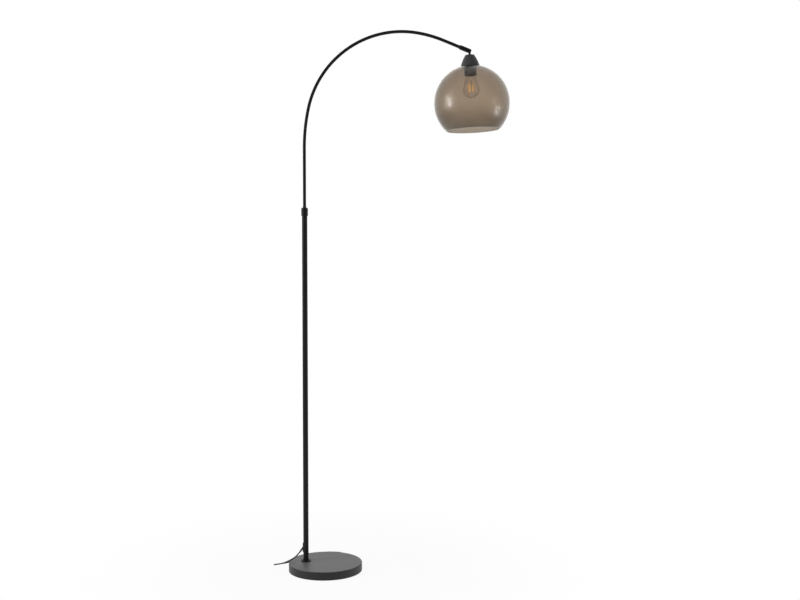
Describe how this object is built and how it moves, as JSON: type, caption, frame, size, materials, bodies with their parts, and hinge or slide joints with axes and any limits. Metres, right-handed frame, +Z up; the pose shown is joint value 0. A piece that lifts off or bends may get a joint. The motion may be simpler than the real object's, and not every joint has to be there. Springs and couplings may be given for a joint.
{
  "type": "arc floor lamp",
  "caption": "Floor lamp with a round weighted base, a telescopic arched arm and a tilting open globe of smoked glass.",
  "frame": {"origin": "centre of the round base, on the floor", "axes": "+Z up; +X is the way the arm reaches out; the pole stands on the -X side of the base"},
  "size_m": [0.8067, 0.3162, 1.8243],
  "materials": {
    "black_paint": "satin",
    "cast_iron": "matt",
    "felt": "matt",
    "zinc_steel": "satin",
    "nylon": "matt",
    "rubber": "matt",
    "cord_pvc": "satin",
    "inner_lead": "matt",
    "black_plastic": "satin",
    "porcelain": "satin",
    "brass": "satin",
    "smoked_glass": "polished",
    "clear_glass": "polished",
    "aluminium_cap": "satin",
    "filament": "matt",
    "pin_nickel": "polished"
  },
  "bodies": {
    "base": {"felt_pad": "felt", "base_weight": "cast_iron", "base_cover": "black_paint", "foot_washer": "zinc_steel", "foot_nut": "zinc_steel", "foot_stud": "zinc_steel", "foot_ring": "black_paint", "pole_foot_plug": "zinc_steel", "lower_pole_tube": "black_paint", "upper_pole_tube": "black_paint", "pole_joiner": "zinc_steel", "pole_head": "black_paint", "pole_lead": "inner_lead", "cord_relief": "rubber", "cord_to_switch": "cord_pvc", "switch_base": "black_plastic", "switch_cover": "black_plastic", "cord_to_hank": "cord_pvc", "cord_hank": "cord_pvc", "hank_tie": "nylon", "cord_to_plug": "cord_pvc", "plug_body": "black_plastic", "plug_pin_near": "pin_nickel", "plug_pin_far": "pin_nickel"},
    "collar": {"clamp_collar": "black_paint"},
    "swivel": {"clamp_bush": "nylon"},
    "arm": {"arm_tube": "black_paint", "arm_guide": "nylon", "arm_lead": "inner_lead", "arm_fork": "black_paint", "pivot_screw": "black_paint", "pivot_nut": "black_paint", "pivot_washer_front": "nylon", "pivot_washer_back": "nylon"},
    "shade": {"shade_stem": "black_paint", "stem_lead": "inner_lead", "holder_cup": "black_paint", "stem_nut": "zinc_steel", "lampholder": "black_plastic", "holder_core": "porcelain", "screw_shell": "brass", "centre_contact": "brass", "shade_ring": "black_plastic", "shade_globe": "smoked_glass", "bulb_cap": "aluminium_cap", "bulb_envelope": "clear_glass", "bulb_stem": "clear_glass", "bulb_filaments": "filament"},
    "rocker": {"switch_rocker": "black_plastic"}
  },
  "joints": [
    {"name": "collar_turn", "type": "hinge", "parent": "base", "child": "collar", "pos_m": [-0.0678, 0, 1.2232], "axis": [0, 0, 1], "range_deg": [0, 90]},
    {"name": "arm_swivel", "type": "hinge", "parent": "base", "child": "swivel", "pos_m": [-0.0678, 0, 1.23], "axis": [0, 0, 1], "range_deg": [-160, 160]},
    {"name": "arm_slide", "type": "slide", "parent": "swivel", "child": "arm", "axis": [0, 0, 1], "range_m": [-0.18, 0.125], "deforming": ["pole_lead"]},
    {"name": "shade_tilt", "type": "hinge", "parent": "arm", "child": "shade", "pos_m": [0.4874, 0, 1.7503], "axis": [0, 1, 0], "range_deg": [-35, 40]},
    {"name": "rocker_press", "type": "hinge", "parent": "base", "child": "rocker", "pos_m": [-0.084, 0.121, 0.01005], "axis": [-0.4067, 0.9135, 0], "range_deg": [-16, 0]}
  ]
}
